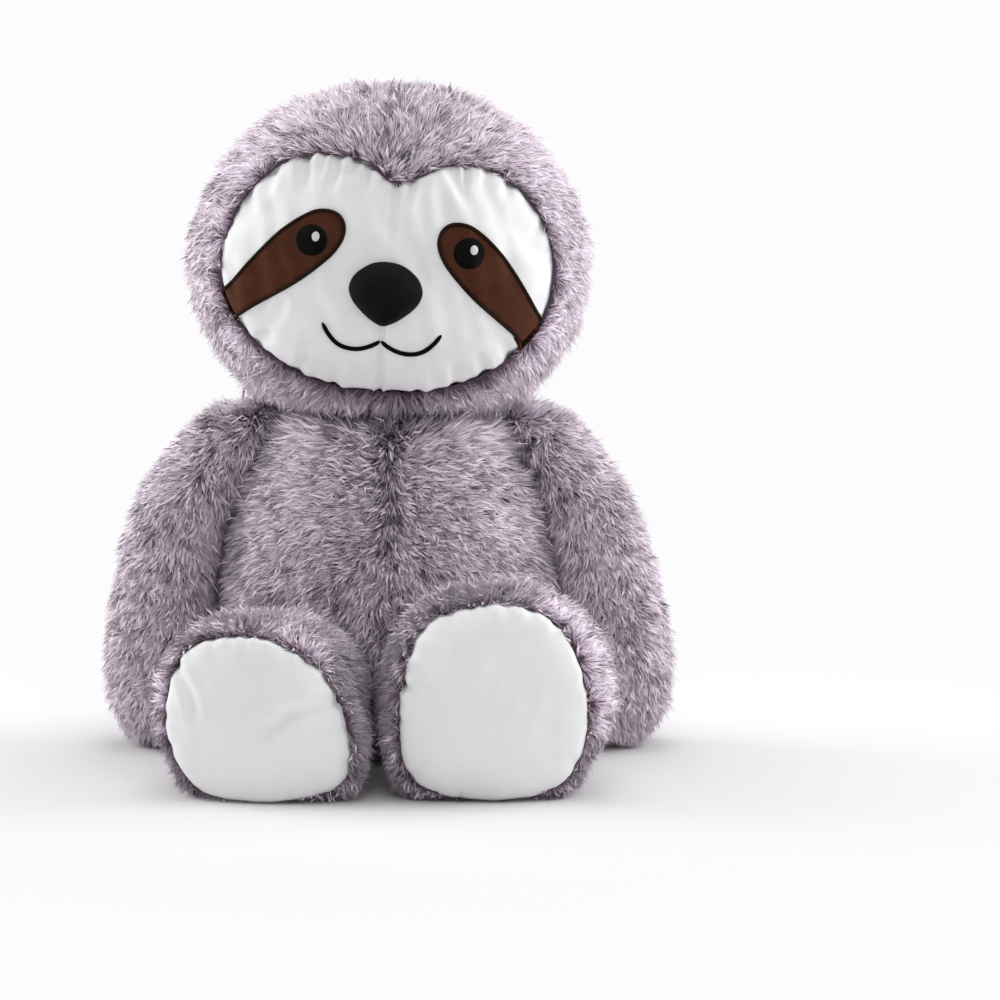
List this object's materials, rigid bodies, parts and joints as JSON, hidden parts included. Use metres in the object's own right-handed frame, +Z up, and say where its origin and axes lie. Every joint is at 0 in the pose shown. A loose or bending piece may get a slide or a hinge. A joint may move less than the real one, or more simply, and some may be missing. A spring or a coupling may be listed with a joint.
{
  "type": "weighted plush toy",
  "caption": "Seated plush sloth with a bead weighted body, hanging arms, legs held forward with smooth soles, and a stuffed head that turns and nods.",
  "frame": {"origin": "middle of the flat seat under the body, on the surface the toy sits on", "axes": "+Z up, -Y the way the toy faces, +X towards the toy's own left hand"},
  "size_m": [0.3427, 0.2888, 0.3997],
  "materials": {
    "plush": "long pile plush",
    "satin": "smooth short plush",
    "band": "satin applique",
    "thread": "satin stitched embroidery",
    "glint": "satin stitched embroidery",
    "nose": "matte padded cloth",
    "stuffing": "polyester fibre",
    "pouch": "plain cotton",
    "beads": "heap of small glass beads"
  },
  "bodies": {
    "torso": {"body_seat_panel": "plush", "body_front_left_panel": "plush", "body_front_right_panel": "plush", "body_back_left_panel": "plush", "body_back_right_panel": "plush", "bead_pouch_top": "pouch", "bead_pouch_bottom": "pouch", "glass_beads": "beads", "body_filling": "stuffing"},
    "neck": {"neck_filling": "stuffing"},
    "head": {"head_left_panel": "plush", "head_right_panel": "plush", "head_filling": "stuffing", "face_panel": "satin", "nose": "nose", "eye_band_left": "band", "eye_left": "thread", "eye_glint_left": "glint", "mouth_left": "thread", "eye_band_right": "band", "eye_right": "thread", "eye_glint_right": "glint", "mouth_right": "thread"},
    "arm_left": {"arm_left_front_panel": "plush", "arm_left_back_panel": "plush", "arm_left_filling": "stuffing", "arm_left_bead_bag": "beads"},
    "leg_left": {"leg_left_inner_panel": "plush", "leg_left_outer_panel": "plush", "leg_left_sole": "satin", "leg_left_filling": "stuffing", "leg_left_bead_bag": "beads"},
    "arm_right": {"arm_right_front_panel": "plush", "arm_right_back_panel": "plush", "arm_right_filling": "stuffing", "arm_right_bead_bag": "beads"},
    "leg_right": {"leg_right_inner_panel": "plush", "leg_right_outer_panel": "plush", "leg_right_sole": "satin", "leg_right_filling": "stuffing", "leg_right_bead_bag": "beads"}
  },
  "joints": [
    {"name": "head_turn", "type": "hinge", "parent": "torso", "child": "neck", "pos_m": [0, -0.004, 0.198], "axis": [0, 0, 1], "range_deg": [-18, 18], "stiffness_Nm_per_rad": 1.5},
    {"name": "head_nod", "type": "hinge", "parent": "neck", "child": "head", "pos_m": [0, -0.004, 0.198], "axis": [1, 0, 0], "range_deg": [-5, 6], "stiffness_Nm_per_rad": 6},
    {"name": "arm_left_lift", "type": "hinge", "parent": "torso", "child": "arm_left", "pos_m": [0.072, 0, 0.206], "axis": [0, -1, 0], "range_deg": [0, 45]},
    {"name": "arm_right_lift", "type": "hinge", "parent": "torso", "child": "arm_right", "pos_m": [-0.072, 0, 0.206], "axis": [0, 1, 0], "range_deg": [0, 45]},
    {"name": "leg_left_lift", "type": "hinge", "parent": "torso", "child": "leg_left", "pos_m": [0.053, -0.084, 0.112], "axis": [-1, 0, 0], "range_deg": [0, 60]},
    {"name": "leg_right_lift", "type": "hinge", "parent": "torso", "child": "leg_right", "pos_m": [-0.053, -0.084, 0.104], "axis": [-1, 0, 0], "range_deg": [0, 60]}
  ]
}
